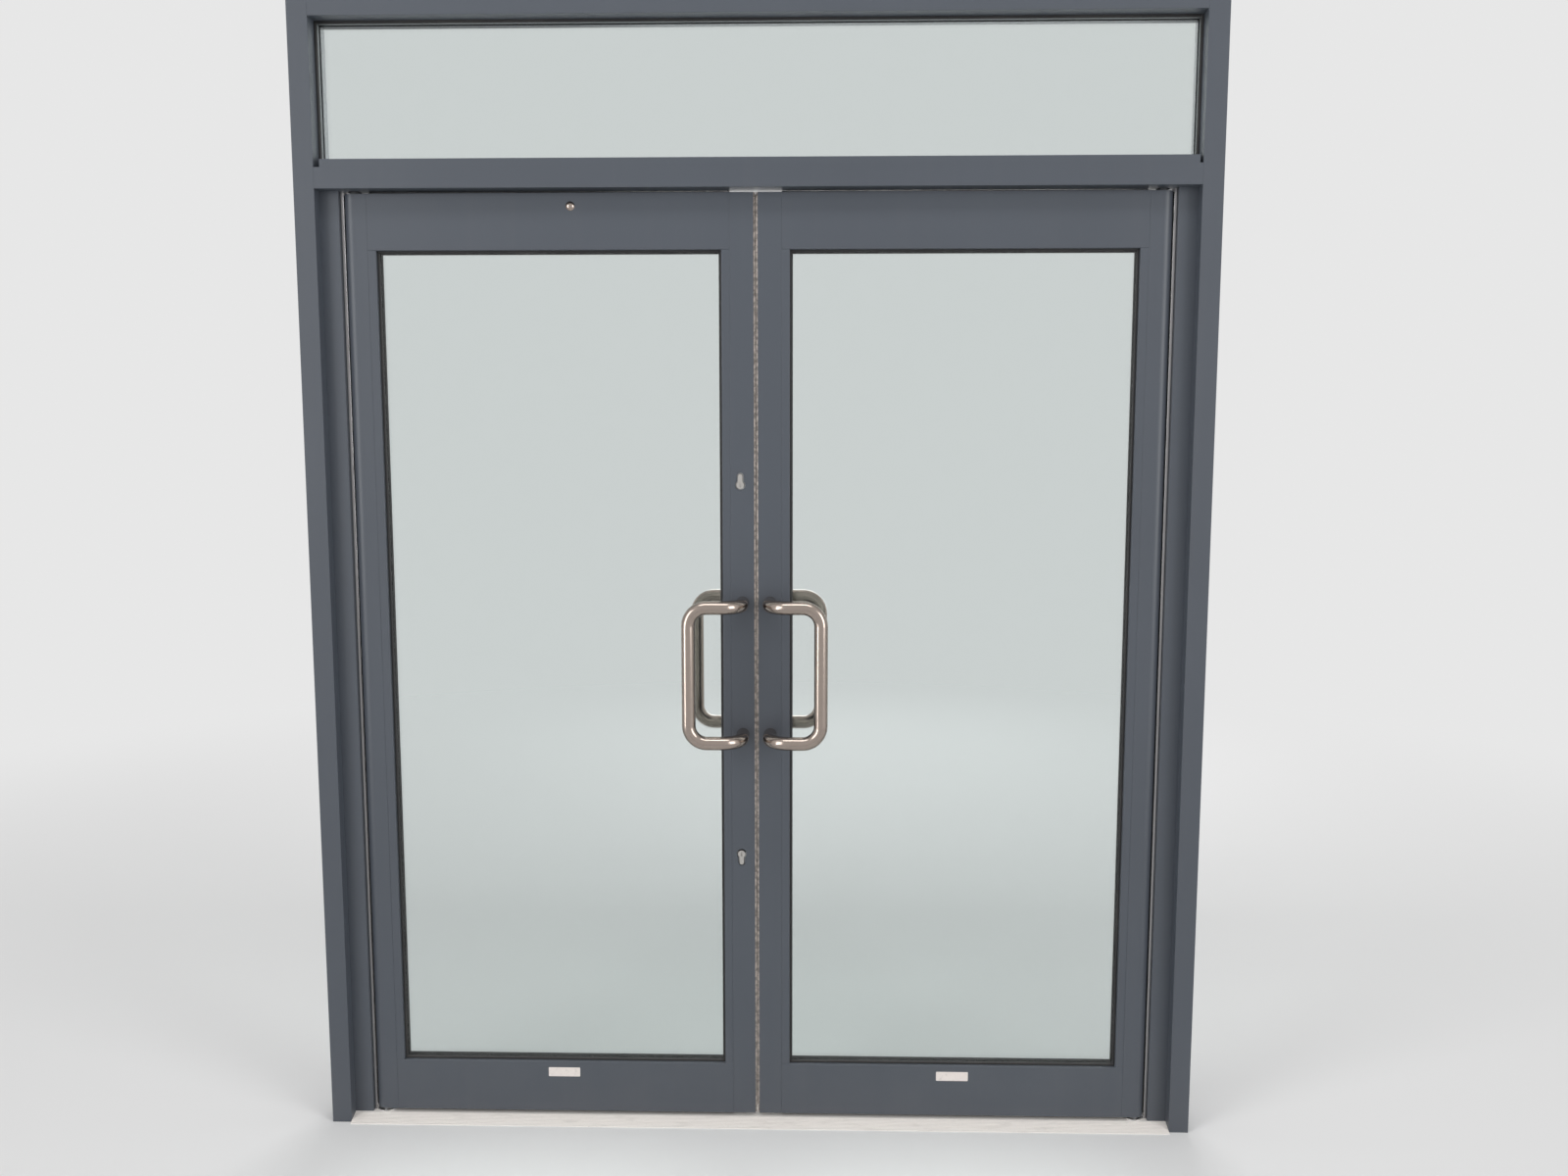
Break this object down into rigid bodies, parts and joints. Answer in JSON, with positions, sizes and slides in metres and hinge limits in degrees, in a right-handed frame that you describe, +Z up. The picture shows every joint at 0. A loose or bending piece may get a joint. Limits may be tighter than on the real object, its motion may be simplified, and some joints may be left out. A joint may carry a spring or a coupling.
{
  "type": "glazed double swing entrance door with fanlight",
  "caption": "Framed aluminium entrance door with glazed double-action leaves, round finger-safe hinge stiles, cranked steel pull handles, key locks, fanlight and ribbed threshold.",
  "frame": {"origin": "bottom centre of the frame, in the middle of its depth, at floor level", "axes": "+X to the right and +Y into the building, both seen from outside; +Z up"},
  "size_m": [1.99, 0.254, 2.527],
  "materials": {
    "grey_coat": "satin anthracite powder coat",
    "clear_glass": "clear float",
    "spacer_metal": "matt",
    "black_rubber": "matt",
    "black_plastic": "matt",
    "beige_pile": "woven pile",
    "satin_steel": "satin ground",
    "plated_steel": "zinc plated",
    "cast_metal": "painted grey",
    "nickel_brass": "matt nickel plated",
    "silver_anodised": "satin anodised"
  },
  "bodies": {
    "frame": {"left_mullion": "grey_coat", "right_mullion": "grey_coat", "head": "grey_coat", "transom": "grey_coat", "left_door_jamb": "grey_coat", "right_door_jamb": "grey_coat", "left_finger_guard": "silver_anodised", "right_finger_guard": "silver_anodised", "threshold": "silver_anodised", "frame_screws": "plated_steel", "fanlight_panes": "clear_glass", "fanlight_spacer": "spacer_metal", "fanlight_bead": "grey_coat", "fanlight_gaskets": "black_rubber", "fanlight_setting_blocks": "black_plastic", "left_closer": "cast_metal", "right_closer": "cast_metal", "left_floor_pivot": "plated_steel", "right_floor_pivot": "plated_steel"},
    "left_leaf": {"left_hinge_stile": "grey_coat", "left_meeting_stile": "grey_coat", "left_top_rail": "grey_coat", "left_bottom_rail": "grey_coat", "left_glass_panes": "clear_glass", "left_glass_spacer": "spacer_metal", "left_glazing_beads": "grey_coat", "left_glazing_gaskets": "black_rubber", "left_setting_blocks": "black_plastic", "left_brush_piles": "beige_pile", "left_outside_handle": "satin_steel", "left_inside_handle": "satin_steel", "left_handle_bolts": "plated_steel", "left_pivot_shoe": "cast_metal", "left_closer_arm": "cast_metal", "upper_lock_case": "plated_steel", "lower_lock_case": "plated_steel", "upper_lock_cylinder": "nickel_brass", "lower_lock_cylinder": "nickel_brass", "top_rail_stud": "satin_steel"},
    "right_leaf": {"right_hinge_stile": "grey_coat", "right_meeting_stile": "grey_coat", "right_top_rail": "grey_coat", "right_bottom_rail": "grey_coat", "right_glass_panes": "clear_glass", "right_glass_spacer": "spacer_metal", "right_glazing_beads": "grey_coat", "right_glazing_gaskets": "black_rubber", "right_setting_blocks": "black_plastic", "right_brush_piles": "beige_pile", "right_outside_handle": "satin_steel", "right_inside_handle": "satin_steel", "right_handle_bolts": "plated_steel", "right_pivot_shoe": "cast_metal", "right_closer_arm": "cast_metal", "lock_keeps": "plated_steel"},
    "upper_plug": {"upper_lock_plug": "nickel_brass"},
    "lower_plug": {"lower_lock_plug": "nickel_brass"},
    "upper_bolt": {"upper_lock_bolt": "plated_steel"},
    "lower_bolt": {"lower_lock_bolt": "plated_steel"}
  },
  "joints": [
    {"name": "left_leaf_swing", "type": "hinge", "parent": "frame", "child": "left_leaf", "pos_m": [-0.879, 0, 0], "axis": [0, 0, 1], "range_deg": [-90, 90], "stiffness_Nm_per_rad": 15},
    {"name": "right_leaf_swing", "type": "hinge", "parent": "frame", "child": "right_leaf", "pos_m": [0.879, 0, 0], "axis": [0, 0, 1], "range_deg": [-90, 90], "stiffness_Nm_per_rad": 15},
    {"name": "upper_plug_turn", "type": "hinge", "parent": "left_leaf", "child": "upper_plug", "pos_m": [-0.0348, 0, 1.488], "axis": [0, -1, 0], "range_deg": [0, 360]},
    {"name": "upper_bolt_throw", "type": "slide", "parent": "left_leaf", "child": "upper_bolt", "axis": [1, 0, 0], "range_m": [0, 0.02]},
    {"name": "lower_plug_turn", "type": "hinge", "parent": "left_leaf", "child": "lower_plug", "pos_m": [-0.0348, 0, 0.646], "axis": [0, 1, 0], "range_deg": [0, 360]},
    {"name": "lower_bolt_throw", "type": "slide", "parent": "left_leaf", "child": "lower_bolt", "axis": [1, 0, 0], "range_m": [0, 0.02]}
  ],
  "couplings": [
    {"joint": "upper_plug_turn", "follows": "upper_bolt_throw", "rad_per_m": 314.16},
    {"joint": "lower_plug_turn", "follows": "lower_bolt_throw", "rad_per_m": 314.16}
  ]
}
